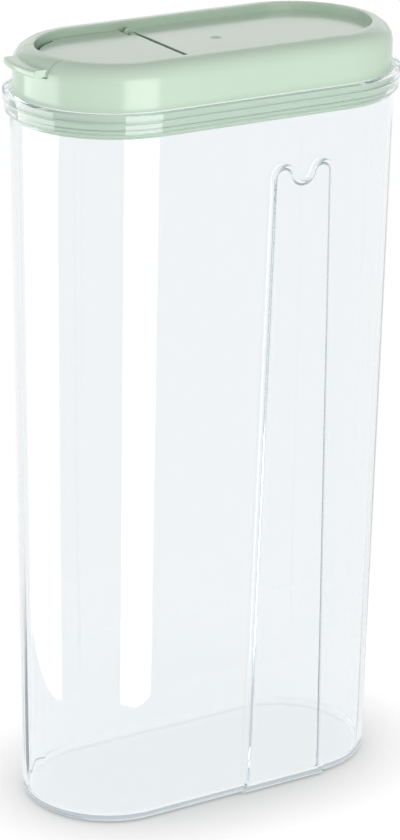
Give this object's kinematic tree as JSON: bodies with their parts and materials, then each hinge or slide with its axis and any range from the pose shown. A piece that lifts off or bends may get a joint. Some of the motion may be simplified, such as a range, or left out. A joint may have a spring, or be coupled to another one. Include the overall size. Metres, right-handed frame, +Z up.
{
  "type": "food canister",
  "caption": "Tall clear oblong food canister with a press-in lid and a flip-up pouring flap, for long dry food such as pasta.",
  "frame": {"origin": "middle of the base, on the surface that the canister stands on", "axes": "+Z up, +X along the long side away from the flap's nose, -Y towards the front wall with the raised strip"},
  "size_m": [0.1562, 0.0782, 0.2938],
  "materials": {
    "clear_plastic": "clear, polished",
    "mint_plastic": "opaque, glossy"
  },
  "bodies": {
    "tub": {"body": "clear_plastic"},
    "cover": {"lid": "mint_plastic"},
    "pour_flap": {"flap": "mint_plastic"}
  },
  "joints": [
    {"name": "lid_lift", "type": "slide", "parent": "tub", "child": "cover", "axis": [0, 0, 1], "range_m": [0, 0.06]},
    {"name": "flap_hinge", "type": "hinge", "parent": "cover", "child": "pour_flap", "pos_m": [-0.0188, 0, 0.2898], "axis": [0, 1, 0], "range_deg": [0, 110]}
  ]
}
